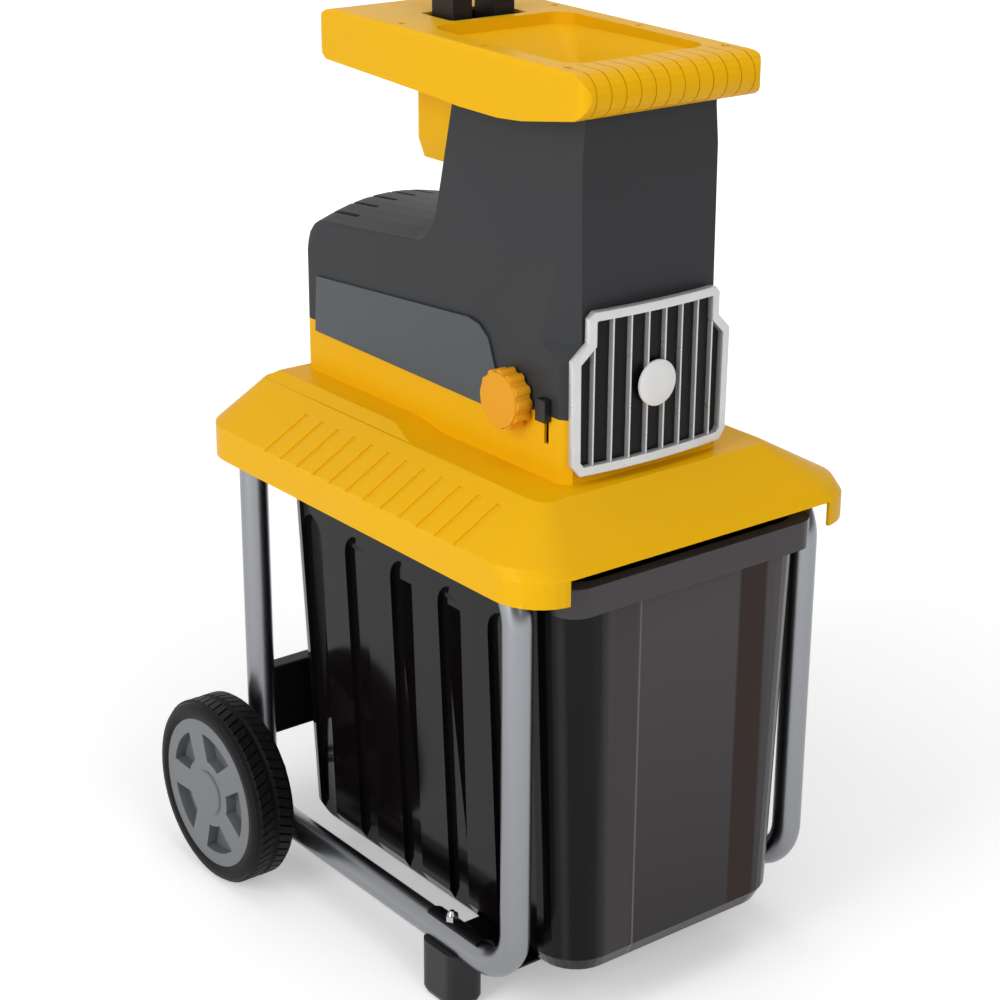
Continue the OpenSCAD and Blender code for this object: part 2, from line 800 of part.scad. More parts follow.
module upper_housing() {
    color([0.28, 0.285, 0.295]) difference() {
        head_body(0, split_z);
        head_body(head_wall, split_z - cut);
        along_x(-hopper_x, hopper_x) polygon(hopper_side(-seat_gap));
        block(-head_x, head_x, head_front, head_rear, hopper_split - 14, tower_cap + cut);
        grille_window();
        slider_slot();
        knob_hole();
        block(-switch_x - seat_gap, switch_x + seat_gap, head_rear - 2 * head_wall, head_rear + cut,
            switch_z[0] - seat_gap, switch_z[1] + seat_gap);
        for (i = [-3:3]) block(i * louvre_pitch - louvre_w / 2, i * louvre_pitch + louvre_w / 2,
            head_rear - 6 - louvre_len, head_rear - 6, hump_z - hump_drop - hump_r + 8, hump_z + hump_crown + cut);
    }
}

// Upright wall with two saddles that carry the motor
module motor_cradle(y) {
    difference() {
        block(-head_x + head_wall, head_x - head_wall, y, y + 5, pad_z, split_z - 2);
        rod_y(motor_r + seat_gap, y - cut, y + 5 + cut, motor_x, motor_z);
        rod_y(capacitor_r() + seat_gap, y - cut, y + 5 + cut, capacitor_x(), capacitor_z());
        block(capacitor_x() - capacitor_r() - seat_gap, capacitor_x() + capacitor_r() + seat_gap, y - cut,
            y + 5 + cut, pad_z - cut, capacitor_z());
    }
}

function capacitor_r() = 18;
function capacitor_x() = -head_x + head_wall + capacitor_r() + 4;
function capacitor_z() = pad_z + capacitor_r() + seat_gap;

module lower_housing() {
    color("gold") difference() {
        union() {
            difference() {
                linear_step(deck_z, split_z - deck_z) polygon(head_wide(0));
                linear_step(deck_z - cut, split_z - deck_z + 2 * cut) polygon(head_wide(head_wall));
                along_x(-head_x - cut, head_x + cut) polygon(pad_side(0));
            }
            for (y = [24, 106]) motor_cradle(y);
            for (p = cover_screws()) let (low = p[1] > 0 ? pad_z : deck_z) {
                rod_z(7, low, pad_z + 18, p[0], p[1]);
                block(min(p[0], sign(p[0]) * (head_x - 1)), max(p[0], sign(p[0]) * (head_x - 1)),
                    p[1] - 2, p[1] + 2, low, pad_z + 16);
            }
        }
        for (p = cover_screws()) rod_z(screw_r() + seat_gap, deck_z - cut, pad_z + 14, p[0], p[1]);
        grille_window();
        slider_slot();
        knob_hole();
        block(-inlet_x - seat_gap, inlet_x + seat_gap, head_rear - 2 * head_wall, head_rear + cut,
            inlet_z[0] - seat_gap, inlet_z[1] + seat_gap);
    }
}

module left_trim_panel() {
    mirror([1, 0, 0]) right_trim_panel();
}

// Flat panel on the side of the housing, rounded towards the knob
module right_trim_panel() {
    color([0.32, 0.345, 0.37]) along_x(head_x, head_x + trim_t)
        polygon([[head_rear - 20, trim_z + 4], [head_rear - 24, trim_z + 62], [40, trim_z + 72],
            [-64, trim_z + 79], [-80, trim_z + 76], [-94, trim_z + 66], [-106, trim_z + 36],
            [-96, trim_z], [-80, trim_z]]);
}

// Outline of the grille in X and Z: narrow above, wide below
function grille_half(inset) = [[grille_x - 8 - inset, grille_low + inset], [grille_x - inset, grille_low + 10],
    [grille_x + 1 - inset, step_z + 6 - inset / 2], [shoulder_x - 1 - inset, step_z + step_rise + 5 - inset / 2],
    [shoulder_x - 1 - inset, grille_high - 6], [shoulder_x - 7 - inset, grille_high - inset]];
function grille_outline(inset) = let (half = grille_half(inset)) concat(half,
    [for (i = [len(half) - 1:-1:0]) [-half[i][0], half[i][1]]]);

module front_grille() {
    pitch = 2 * (shoulder_x - 8) / (grille_bars - 1);
    color("lightgray") union() {
        along_y(grille_y, head_front) difference() {
            polygon(grille_outline(0));
            polygon(grille_outline(grille_rim));
        }
        intersection() {
            along_y(grille_y + 1.5, head_front) polygon(grille_outline(grille_rim / 2));
            for (i = [0:grille_bars - 1]) let (x = (i - (grille_bars - 1) / 2) * pitch)
                block(x - bar_w / 2, x + bar_w / 2, grille_y, head_front, grille_low, grille_high);
        }
    }
}

module grille_backing() {
    color("black") along_y(head_front, head_front + head_wall - 0.5)
        polygon(grille_outline(window_inset + 1));
}

module grille_badge() {
    color("whitesmoke") rod_y(badge_d / 2, grille_y - 1, grille_y + 1.5, 0, badge_z);
}

// Screws that show on the hopper's rim, and those under the base cover
module case_screws() {
    head_h = 2.5;
    color("dimgray") {
        for (x = [-1, 1], y = hopper_screw_y())
            rod_z(screw_r() * 1.3, rim_z(y) - 5, rim_z(y) - 1.5, x * hopper_screw_x(), y);
        for (p = cover_screws()) {
            under = p[1] > 0 ? pad_z - cover_wall : deck_z - cover_wall;
            rod_z(screw_r(), under - 1, pad_z + 12, p[0], p[1]);
            rod_z(screw_r() * 1.8, under - head_h - seat_gap, under - seat_gap, p[0], p[1]);
        }
    }
}

function hopper_screw_x() = hopper_x - 14;
function hopper_screw_y() = [-196, -80, 44];
// Height of the hopper's sloping rim
function rim_z(y) = let (front = front_nose_z + front_nose)
    front + (hopper_top - front) * (y - hopper_front - front_nose) / (hopper_rear - rear_nose - hopper_front - front_nose);

// Hopper

// Outline drawn in by a set amount, with every edge kept parallel
function drawn_in(outline, inset) = let (n = len(outline)) [for (i = [0:n - 1])
    let (here = outline[i], last = here - outline[(i + n - 1) % n], next = outline[(i + 1) % n] - here,
        u = [-last[1], last[0]] / norm(last), v = [-next[1], next[0]] / norm(next))
    here + inset * (u + v) / (1 + u * v)];

// Side view of the hopper: rounded ends, sloping rim and a belly over the tower
function hopper_side(inset) = drawn_in(concat(
    arc([hopper_rear - rear_nose, rear_nose_z], rear_nose, -70, 90),
    arc([hopper_front + front_nose, front_nose_z], front_nose, 90, 250),
    [[-150, tower_z - 1.5], [-116, tower_z - 4], [-60, tower_z - 3], [-17, tower_z], [60, tower_z + 4]]), inset);

// Whole form of the hopper, drawn in by a wall: side view, rounded plan corners and rounded rim
module hopper_form(inset) {
    front = [hopper_front + front_nose, front_nose_z + front_nose];
    tilt = atan2(hopper_top - front[1], hopper_rear - rear_nose - front[0]);
    intersection() {
        along_x(-hopper_x - cut, hopper_x + cut) polygon(hopper_side(inset));
        linear_step(tower_z - 30, hopper_top - tower_z + 40) polygon(rounded(-hopper_x + inset, hopper_x - inset,
            hopper_front - cut + inset, hopper_rear + cut - inset, 14 - inset));
        translate([0, front[0], front[1]]) rotate([tilt, 0, 0]) along_y(-60, 480)
            polygon(rounded(-hopper_x - 0.4 + inset, hopper_x + 0.4 - inset, -90, 0.5 - inset, hopper_edge - inset));
    }
}

module hopper_shell(low, high) {
    difference() {
        intersection() {
            hopper_form(0);
            block(-hopper_x - 2, hopper_x + 2, hopper_front - 2, hopper_rear + 2, low, high);
        }
        hopper_form(hopper_wall);
    }
}

// Thin lines round the front end
module grip_cuts() {
    intersection() {
        for (i = [0:grip_grooves - 1]) let (x = (i - (grip_grooves - 1) / 2) * groove_pitch)
            along_x(x - groove_w / 2, x + groove_w / 2) difference() {
                polygon(hopper_side(-cut));
                polygon(hopper_side(1.2));
            }
        block(-hopper_x, hopper_x, hopper_front - 2 * cut, hopper_front + groove_len, tower_z - 20, hopper_top + 5);
    }
}

module pocket(inset) {
    loft([ring(rounded(-pocket_x + 4 + inset, pocket_x - 4 - inset, pocket_y[0] + 4 + inset,
            pocket_y[1] - 4 - inset, 6), pocket_z + inset),
        ring(rounded(-pocket_x + inset, pocket_x - inset, pocket_y[0] + inset, pocket_y[1] - inset, 6),
            pocket_z + 18),
        ring(rounded(-pocket_x + inset, pocket_x - inset, pocket_y[0] + inset, pocket_y[1] - inset, 6),
            hopper_split + (inset > 0 ? cut : -6))]);
}

module hopper_lower() {
    color("gold") difference() {
        union() {
            hopper_shell(tower_z - 20, hopper_split);
            pocket(0);
        }
        pocket(hopper_wall);
        block(-throat_x - 9, throat_x + 9, throat_front - 9, throat_rear + 9, tower_z - 20, tower_z + 10);
        grip_cuts();
    }
}

// Dished tray that narrows to the throat
module tray_funnel(inset, low, high) {
    throat = rounded(-throat_x - inset, throat_x + inset, throat_front - inset, throat_rear + inset, 8 + inset);
    tray = rounded(-tray_x - inset, tray_x + inset, tray_front - inset, tray_rear + inset, 20 + inset);
    loft([ring(throat, low), ring(throat, tower_z + 12), ring(tray, tray_z), ring(tray, high)]);
}

module hopper_upper() {
    color("gold") difference() {
        union() {
            hopper_shell(hopper_split, hopper_top + cut);
            intersection() {
                tray_funnel(hopper_wall, tower_z, hopper_top + cut);
                union() {
                    hopper_form(0);
                    block(-tray_x, tray_x, tray_front, tray_rear, tower_z, hopper_split);
                }
            }
        }
        tray_funnel(0, tower_z - cut, hopper_top + 2 * cut);
        linear_step(hopper_split - cut, hopper_top - hopper_split + 2 * cut) polygon(rounded(-pocket_x + hopper_wall,
            pocket_x - hopper_wall, pocket_y[0] + 26, pocket_y[1] - hopper_wall, 6));
        for (x = [-1, 1], y = hopper_screw_y())
            rod_z(screw_r() * 1.3 + seat_gap, rim_z(y) - 8, rim_z(y) + cut, x * hopper_screw_x(), y);
        grip_cuts();
    }
}

// Square duct from the tray down to the cutter chamber
module chute_duct(inset, low, high) {
    loft([ring(rounded(-throat_x - inset, throat_x + inset, chute_front - inset, chamber_rear - 5 + inset, 4), low),
        ring(rounded(-throat_x - inset, throat_x + inset, chute_front - inset, chamber_rear - 5 + inset, 4), chute_knee),
        ring(rounded(-throat_x - inset, throat_x + inset, throat_front - inset, throat_rear + inset, 4), high)]);
}

module feed_chute() {
    flange = 7;
    color("dimgray") difference() {
        union() {
            chute_duct(chute_wall, chamber_top, tower_z);
            linear_step(tower_z - chute_wall, chute_wall - seat_gap) polygon(rounded(-throat_x - flange,
                throat_x + flange, throat_front - flange, throat_rear + flange, 4));
        }
        chute_duct(0, chamber_top - cut, tower_z + 0.01);
    }
}

// Two-pronged plunger that stands in the pocket behind the tray
module plunger() {
    color([0.1, 0.1, 0.11]) {
        both_sides() block(prong_gap / 2, prong_gap / 2 + prong_w, prong_y, prong_y + prong_depth, prong_low,
            plunger_top - 30);
        block(-prong_gap / 2 - prong_w, prong_gap / 2 + prong_w, prong_y, prong_y + prong_depth,
            plunger_top - 62, plunger_top - 30);
    }
}

module plunger_grip() {
    half = prong_gap / 2 + prong_w + 6;
    color([0.1, 0.1, 0.11]) translate([0, prong_y + prong_depth / 2, 0])
        loft([ring(rounded(-half, half, -prong_depth / 2 - 2, prong_depth / 2 + 2, 6, 4), plunger_top - 30),
            ring(rounded(-half, half, -prong_depth / 2 - 2, prong_depth / 2 + 2, 6, 4), plunger_top - 6),
            ring(rounded(-half + 6, half - 6, -prong_depth / 2 + 4, prong_depth / 2 - 4, 6, 4), plunger_top)]);
}

// Gears

function involute(a) = tan(a) * 180 / PI - a;
function half_tooth(rho, teeth, size) = let (r = teeth * size / 2, rb = r * cos(25))
    90 / teeth - backlash / (4 * r) * 180 / PI + involute(25) - involute(acos(min(1, rb / rho)));
function tooth_radii(teeth, size) = let (r = teeth * size / 2, low = max(r * cos(25), r - 1.2 * size))
    [for (i = [0:3]) low + (r + 0.9 * size - low) * i / 3];
function gear_outline(teeth, size, turn) = let (root = teeth * size / 2 - 1.2 * size,
    radii = tooth_radii(teeth, size), foot = half_tooth(radii[0], teeth, size))
    [for (i = [0:teeth - 1]) let (c = turn + 360 * i / teeth) each concat(
        [root * [cos(c - foot), sin(c - foot)]],
        [for (r = radii) r * [cos(c - half_tooth(r, teeth, size)), sin(c - half_tooth(r, teeth, size))]],
        [for (k = [3:-1:0]) let (r = radii[k])
            r * [cos(c + half_tooth(r, teeth, size)), sin(c + half_tooth(r, teeth, size))]],
        [root * [cos(c + foot), sin(c + foot)]])];

// Where the intermediate shaft lies, as the third corner of the triangle of gear distances
distance_1 = module_1 * (pinion_teeth + gear_teeth) / 2;
distance_2 = module_2 * (pinion_teeth + gear_teeth) / 2;
span = [drum_x - motor_x, drum_z - motor_z];
reach = norm(span);
back = (distance_1 ^ 2 - distance_2 ^ 2 + reach ^ 2) / (2 * reach);
side = sqrt(distance_1 ^ 2 - back ^ 2);
lay_x = motor_x + (span[0] * back - span[1] * side) / reach;
lay_z = motor_z + (span[1] * back + span[0] * side) / reach;
// Direction from the motor to the intermediate shaft and from there to the drum
to_lay = atan2(lay_z - motor_z, lay_x - motor_x);
to_drum = atan2(drum_z - lay_z, drum_x - lay_x);

// Spur gear along Y with one tooth at the given turn
module spur(teeth, size, turn, y0, width, bore, x, z) {
    difference() {
        translate([x, 0, z]) along_y(y0, y0 + width) polygon(gear_outline(teeth, size, turn));
        rod_y(bore, y0 - cut, y0 + width + cut, x, z);
    }
}

module motor_pinion() {
    color("silver") spur(pinion_teeth, module_1, to_lay, gear1_y, gear_w1, pinion_bore_r + 0.02, motor_x, motor_z);
}

module intermediate_gear() {
    color("tan") spur(gear_teeth, module_1, to_lay + 180 + 180 / gear_teeth, gear1_y, gear_w1, lay_r + 0.02,
        lay_x, lay_z);
}

// Shaft with the drum stage's pinion cut on it
module intermediate_shaft() {
    color("silver") union() {
        rod_y(lay_r, case_y[0] - cover_t + 1 + seat_gap, case_y[1] - 2, lay_x, lay_z);
        translate([lay_x, 0, lay_z]) along_y(gear2_y - 1, gear2_y + gear_w2 + 1)
            polygon(gear_outline(pinion_teeth, module_2, to_drum));
    }
}

module output_gear() {
    color("silver") spur(gear_teeth, module_2, to_drum + 180 + 180 / gear_teeth, gear2_y, gear_w2,
        shaft_d / 2 + 0.02, drum_x, drum_z);
}

function case_drum_r(inset) = module_2 * (gear_teeth / 2 + 1) + 1.5 + case_wall - inset;
function case_lay_r(inset) = module_1 * (gear_teeth / 2 + 1) + 1.5 + case_wall - inset;

module case_shape(inset) {
    hull() {
        translate([drum_x, drum_z]) circle(r = case_drum_r(inset), $fn = 64);
        translate([lay_x, lay_z]) circle(r = case_lay_r(inset), $fn = 48);
        translate([motor_x, motor_z]) circle(r = 22 - inset / 2, $fn = 32);
    }
}

module gearbox_case() {
    color("lightgray") difference() {
        union() {
            along_y(case_y[0], case_y[1]) case_shape(0);
            block(drum_x - 34, drum_x + 34, case_y[0], case_y[1], deck_z, drum_z - case_drum_r(0) + 8);
        }
        along_y(case_y[0] - cut, case_y[1] - shield_t) case_shape(case_wall);
        rod_y(drum_bush_r + 0.03, case_y[1] - shield_t - cut, case_y[1] - 1, drum_x, drum_z);
        rod_y(lay_bush_r + 0.03, case_y[1] - shield_t - cut, case_y[1] - 1, lay_x, lay_z);
        rod_y(front_bush[0] + 0.03, case_y[1] - shield_t - cut, case_y[1] + cut, motor_x, motor_z);
    }
}

module gearbox_cover() {
    y = [case_y[0] - cover_t, case_y[0]];
    color("lightgray") difference() {
        along_y(y[0], y[1]) case_shape(0);
        rod_y(drum_bush_r + 0.03, y[0] - cut, y[1] + cut, drum_x, drum_z);
        rod_y(lay_bush_r + 0.03, y[0] + 1, y[1] + cut, lay_x, lay_z);
    }
}

// Bushes of the drum shaft and the intermediate shaft, front and rear
module gearbox_bearings() {
    front = [case_y[0] - cover_t, case_y[0]];
    rear = [case_y[1] - shield_t, case_y[1] - 1];
    color("darkgray") {
        for (y = [front, rear]) bush(drum_bush_r, shaft_d / 2 + run_gap, y[0], y[1], drum_x, drum_z);
        bush(lay_bush_r, lay_r + run_gap, front[0] + 1, front[1], lay_x, lay_z);
        bush(lay_bush_r, lay_r + run_gap, rear[0], rear[1], lay_x, lay_z);
    }
}

// Motor

module motor_case() {
    color("dimgray") bush(motor_r, motor_r - 3, motor_y[0], motor_y[1], motor_x, motor_z);
}

module motor_rear_shield() {
    color("lightgray") difference() {
        rod_y(motor_r, motor_y[1], motor_y[1] + shield_t, motor_x, motor_z);
        rod_y(rear_bush[0] + 0.03, motor_y[1] - cut, motor_y[1] + shield_t + cut, motor_x, motor_z);
    }
}

module motor_stator() {
    color("peru") bush(motor_r - 3.1, rotor_r + 0.6, stator_y[0], stator_y[1], motor_x, motor_z);
}

module motor_rotor() {
    color("gray") union() {
        rod_y(pinion_bore_r, gear1_y - 2, motor_y[0] + 4, motor_x, motor_z);
        rod_y(motor_shaft_r, motor_y[0] + 4, fan_y + fan_t + 2, motor_x, motor_z);
        rod_y(rotor_r, stator_y[0] + 2, stator_y[1] - 2, motor_x, motor_z);
    }
}

module motor_fan() {
    color("black") difference() {
        union() {
            rod_y(fan_r, fan_y, fan_y + 2.5, motor_x, motor_z);
            rod_y(14, fan_y, fan_y + fan_t, motor_x, motor_z);
            for (i = [0:7]) translate([motor_x, 0, motor_z]) rotate([0, 45 * i, 0])
                block(12, fan_r - 2, fan_y, fan_y + fan_t, -1.2, 1.2);
        }
        rod_y(motor_shaft_r + 0.02, fan_y - cut, fan_y + fan_t + cut, motor_x, motor_z);
    }
}

module motor_bearings() {
    color("darkgray") {
        bush(front_bush[0], front_bush[1] + run_gap, case_y[1] - shield_t, case_y[1], motor_x, motor_z);
        bush(rear_bush[0], rear_bush[1] + run_gap, motor_y[1], motor_y[1] + shield_t, motor_x, motor_z);
    }
}

// Cutter

module cutter_shaft() {
    color("silver") rod_y(shaft_d / 2, chamber_front - 2, case_y[1] - 2, drum_x, drum_z);
}

// Solid drum with forward-leaning blades
module cutter_drum() {
    tip = drum_d / 2;
    root = tip - 9;
    step = 360 / blades;
    color("slategray") difference() {
        translate([drum_x, 0, drum_z]) along_y(knob_y - drum_len / 2, knob_y + drum_len / 2)
            polygon([for (i = [0:blades - 1]) each concat(arc([0, 0], root, i * step, i * step + step * 0.6, 5),
                [tip * [cos(i * step + step * 0.95), sin(i * step + step * 0.95)],
                 (tip - 1) * [cos(i * step + step), sin(i * step + step)]])]);
        rod_y(shaft_d / 2 + 0.02, knob_y - drum_len, knob_y + drum_len, drum_x, drum_z);
    }
}

module front_drum_bearing() {
    color("darkgray") bush(drum_bush_r, shaft_d / 2 + run_gap, chamber_front, chamber_front + chamber_wall + 2,
        drum_x, drum_z);
}

// Steel frame round the drum, open above and below
module cutter_chamber() {
    color("dimgray") difference() {
        block(chamber_left, chamber_right, chamber_front, chamber_rear, deck_z, chamber_top);
        block(chamber_left + chamber_wall, chamber_right - chamber_wall, chamber_front + chamber_wall + 2,
            chamber_rear + cut, deck_z - cut, chamber_top + cut);
        rod_y(drum_bush_r + 0.03, chamber_front - cut, chamber_front + chamber_wall + 3, drum_x, drum_z);
        rod_x(spindle_d / 2 + run_gap, chamber_left - cut, chamber_left + chamber_wall + cut, knob_y, drum_z);
    }
}

// Counter plate that the knob moves towards the drum
module pressure_plate() {
    low = plate_face - plate_w;
    color("lightgray") difference() {
        block(low, plate_face, chamber_front + chamber_wall + 2 + seat_gap, chamber_rear - seat_gap, drum_z - 22,
            chamber_top - 8);
        rod_x(spindle_d / 2 + run_gap, low - cut, plate_face - spindle_tip, knob_y, drum_z);
    }
}

module adjusting_spindle() {
    color("silver") union() {
        rod_x(spindle_d / 2, -head_x - knob_gap - knob_t + 4, plate_face - spindle_tip - 4, knob_y, drum_z);
        rod_x(spindle_d / 2 + 3, chamber_left - 4, chamber_left - seat_gap, knob_y, drum_z);
    }
}

module adjusting_knob() {
    x = -head_x - knob_gap;
    color("orange") difference() {
        union() {
            rod_x(knob_d / 2 - 3, x - knob_t, x, knob_y, drum_z);
            for (i = [0:knob_lobes - 1]) let (a = 360 / knob_lobes * i)
                rod_x(5, x - knob_t + 2, x, knob_y + (knob_d / 2 - 5) * cos(a), drum_z + (knob_d / 2 - 5) * sin(a));
        }
        rod_x(spindle_d / 2 + 0.02, x - knob_t + 4, x + cut, knob_y, drum_z);
    }
}

// Electrics and controls

module run_capacitor() {
    color("gainsboro") rod_y(capacitor_r(), 18, 118, capacitor_x(), capacitor_z());
}

function start_at() = [-18, 640];
function stop_at() = [18, 640];
function selector_at() = [0, 616];
function button_travel() = 3;

module switch_box() {
    face = head_rear + 3;
    color("black") difference() {
        union() {
            block(-switch_x, switch_x, head_rear - 24, head_rear, switch_z[0], switch_z[1]);
            block(-switch_x - 4, switch_x + 4, head_rear, face, switch_z[0] - 4, switch_z[1] + 4);
        }
        for (p = [start_at(), stop_at()])
            rod_y(button_d / 2 + 0.1, face - 12, face + cut, p[0], p[1]);
        rod_y(4 + run_gap, face - 8, face + cut, selector_at()[0], selector_at()[1]);
    }
}

module push_button(p) {
    face = head_rear + 3;
    rod_y(button_d / 2, face - 12 + button_travel() + seat_gap, face + button_travel() + 1, p[0], p[1]);
}

module start_button() {
    color("green") push_button(start_at());
}

module stop_button() {
    color("red") push_button(stop_at());
}

module direction_selector() {
    face = head_rear + 3;
    color("gray") union() {
        rod_y(4, face - 8 + seat_gap, face + 2, selector_at()[0], selector_at()[1]);
        rod_y(11, face + seat_gap, face + 5, selector_at()[0], selector_at()[1]);
        block(selector_at()[0] - 2.5, selector_at()[0] + 2.5, face + 4, face + 12, selector_at()[1] - 10,
            selector_at()[1] + 10);
    }
}

// Recessed plug with three pins
module power_inlet() {
    color("black") union() {
        difference() {
            union() {
                block(-inlet_x, inlet_x, head_rear - 26, head_rear, inlet_z[0], inlet_z[1]);
                block(-inlet_x - 4, inlet_x + 4, head_rear, head_rear + 2.5, inlet_z[0] - 4, inlet_z[1] + 4);
            }
            block(-inlet_x + 4, inlet_x - 4, head_rear - 22, head_rear + 4, inlet_z[0] + 4, inlet_z[1] - 4);
        }
        for (x = [-9, 0, 9]) block(x - 1, x + 1, head_rear - 23, head_rear - 6,
            (inlet_z[0] + inlet_z[1]) / 2 - 2, (inlet_z[0] + inlet_z[1]) / 2 + 2);
    }
}

// Button outside the wall, neck in the slot and keeper inside the wall
module lock_slider() {
    out = -head_x - seat_gap;
    inside = -head_x + head_wall + seat_gap;
    color("black") union() {
        block(out - 8, out, slider_y - slider_w / 2, slider_y + slider_w / 2, slider_z, slider_z + slider_h);
        block(out - cut, inside + 3, slider_y - slot_w / 2 + seat_gap, slider_y + slot_w / 2 - seat_gap,
            slider_z + 1, slider_z + slider_h - 1);
        block(inside, inside + 3, slider_y - slider_w / 2, slider_y + slider_w / 2, slider_z, slider_z + slider_h);
    }
}

module interlock_switch() {
    color("black") block(-head_x + head_wall, -head_x + head_wall + 12, slider_y - 12, slider_y + 12, deck_z + 8,
        slider_z - slider_travel - 6);
}

left_frame_tube();
right_frame_tube();
left_frame_bends();
right_frame_bends();
front_cross_plate();
rear_cross_beam();
stub_axles();
left_foot();
right_foot();
frame_bolts();
left_tyre();
left_wheel_rim();
left_hub_cap();
right_tyre();
right_wheel_rim();
right_hub_cap();
base_cover();
guide_rails();
collection_box();
lower_housing();
upper_housing();
left_trim_panel();
right_trim_panel();
front_grille();
grille_backing();
grille_badge();
case_screws();
hopper_lower();
hopper_upper();
feed_chute();
plunger();
plunger_grip();
motor_case();
motor_rear_shield();
motor_stator();
motor_rotor();
motor_fan();
motor_pinion();
motor_bearings();
gearbox_case();
gearbox_cover();
intermediate_gear();
intermediate_shaft();
output_gear();
gearbox_bearings();
cutter_shaft();
cutter_drum();
front_drum_bearing();
cutter_chamber();
pressure_plate();
adjusting_spindle();
adjusting_knob();
run_capacitor();
switch_box();
start_button();
stop_button();
direction_selector();
power_inlet();
lock_slider();
interlock_switch();
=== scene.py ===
# Garden shredder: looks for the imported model, in the same frame and at the same size.
import json
import math
import bpy
from mathutils import Matrix, Vector


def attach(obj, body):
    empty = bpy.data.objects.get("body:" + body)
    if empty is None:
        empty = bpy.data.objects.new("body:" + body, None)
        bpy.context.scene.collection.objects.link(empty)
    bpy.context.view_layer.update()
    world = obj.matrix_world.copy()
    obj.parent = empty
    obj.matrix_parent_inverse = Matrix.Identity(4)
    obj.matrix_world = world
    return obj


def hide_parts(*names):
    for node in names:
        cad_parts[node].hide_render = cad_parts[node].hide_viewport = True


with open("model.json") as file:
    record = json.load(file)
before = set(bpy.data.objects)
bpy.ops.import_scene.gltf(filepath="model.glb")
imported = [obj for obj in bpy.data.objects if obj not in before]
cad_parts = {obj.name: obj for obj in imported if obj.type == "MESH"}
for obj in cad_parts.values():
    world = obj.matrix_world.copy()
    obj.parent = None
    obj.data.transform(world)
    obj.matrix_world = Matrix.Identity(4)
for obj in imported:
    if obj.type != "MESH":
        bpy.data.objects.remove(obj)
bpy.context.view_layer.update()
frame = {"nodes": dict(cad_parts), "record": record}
nodes = frame["nodes"]


# Colours on the usual scale of 0 to 255, turned into the linear values that shaders take
def tint(red, green, blue):
    return tuple(c / 12.92 if c <= 0.04045 else ((c + 0.055) / 1.055) ** 2.4
                 for c in (red / 255, green / 255, blue / 255)) + (1.0,)


def shade(colour, factor):
    return tuple(min(1.0, c * factor) for c in colour[:3]) + (1.0,)


# Materials

white = (1.0, 1.0, 1.0, 1.0)
plastic_drift_scale = 7.0
plastic_bump = 0.35
coat_sheen = 0.12
metal_line_scale = 60.0
metal_bump = 0.25
even_stretch = (1, 1, 1)
# Smoked box: where its front begins, where its lip ends and over which heights the painted reflection on the
# front darkens into painted shade
box_front_y = (-0.255, -0.263)
box_lip_z = (0.438, 0.434)
box_reflection_fade_z = (0.4, 0.05)
box_reflection_darkest = 0.45
box_drift_scale = 5.0
box_sheen = (0.08, 0.14)
box_specular = 0.16


def start_material(name):
    material = bpy.data.materials.new(name)
    material.use_nodes = True
    tree = material.node_tree
    surface = tree.nodes["Principled BSDF"]
    place = tree.nodes.new("ShaderNodeTexCoord")
    return material, tree, surface, place


def add_noise(tree, place, scale, detail, stretch=None):
    noise = tree.nodes.new("ShaderNodeTexNoise")
    noise.inputs["Scale"].default_value = scale
    noise.inputs["Detail"].default_value = detail
    vector = place.outputs["Object"]
    if stretch:
        mapping = tree.nodes.new("ShaderNodeMapping")
        mapping.inputs["Scale"].default_value = stretch
        tree.links.new(vector, mapping.inputs["Vector"])
        vector = mapping.outputs["Vector"]
    tree.links.new(vector, noise.inputs["Vector"])
    return noise.outputs["Fac"]


def start_mix(tree, factor, high):
    mix = tree.nodes.new("ShaderNodeMix")
    mix.data_type = "RGBA"
    tree.links.new(factor, mix.inputs["Factor"])
    mix.inputs["B"].default_value = high
    return mix


def blend_colours(tree, factor, low, high):
    mix = start_mix(tree, factor, high)
    mix.inputs["A"].default_value = low
    return mix.outputs["Result"]


# Colour that drifts a little to both sides
def uneven(tree, factor, colour, drift):
    return blend_colours(tree, factor, shade(colour, 1 - drift), shade(colour, 1 + drift))


def paint_zone(tree, ground, zone, colour):
    mix = start_mix(tree, zone, colour)
    tree.links.new(ground, mix.inputs["A"])
    return mix.outputs["Result"]


# Number that runs from low to high while another runs from start to end
def ramp(tree, value, start, end, low=0.0, high=1.0):
    node = tree.nodes.new("ShaderNodeMapRange")
    for socket, number in (("From Min", start), ("From Max", end), ("To Min", low), ("To Max", high)):
        node.inputs[socket].default_value = number
    tree.links.new(value, node.inputs["Value"])
    return node.outputs["Result"]


# Noise lies mostly between 0.3 and 0.7
def spread(tree, noise, low, high):
    return ramp(tree, noise, 0.3, 0.7, low, high)


def combine(tree, operation, first, second):
    both = tree.nodes.new("ShaderNodeMath")
    both.operation = operation
    tree.links.new(first, both.inputs[0])
    tree.links.new(second, both.inputs[1])
    return both.outputs["Value"]


def product(tree, first, second):
    return combine(tree, "MULTIPLY", first, second)


def larger(tree, first, second):
    return combine(tree, "MAXIMUM", first, second)


def split_axes(tree, vector):
    axes = tree.nodes.new("ShaderNodeSeparateXYZ")
    tree.links.new(vector, axes.inputs["Vector"])
    return axes.outputs


def add_bump(tree, surface, height, strength, distance):
    bump = tree.nodes.new("ShaderNodeBump")
    bump.inputs["Strength"].default_value = strength
    bump.inputs["Distance"].default_value = distance
    tree.links.new(height, bump.inputs["Height"])
    tree.links.new(bump.outputs["Normal"], surface.inputs["Normal"])


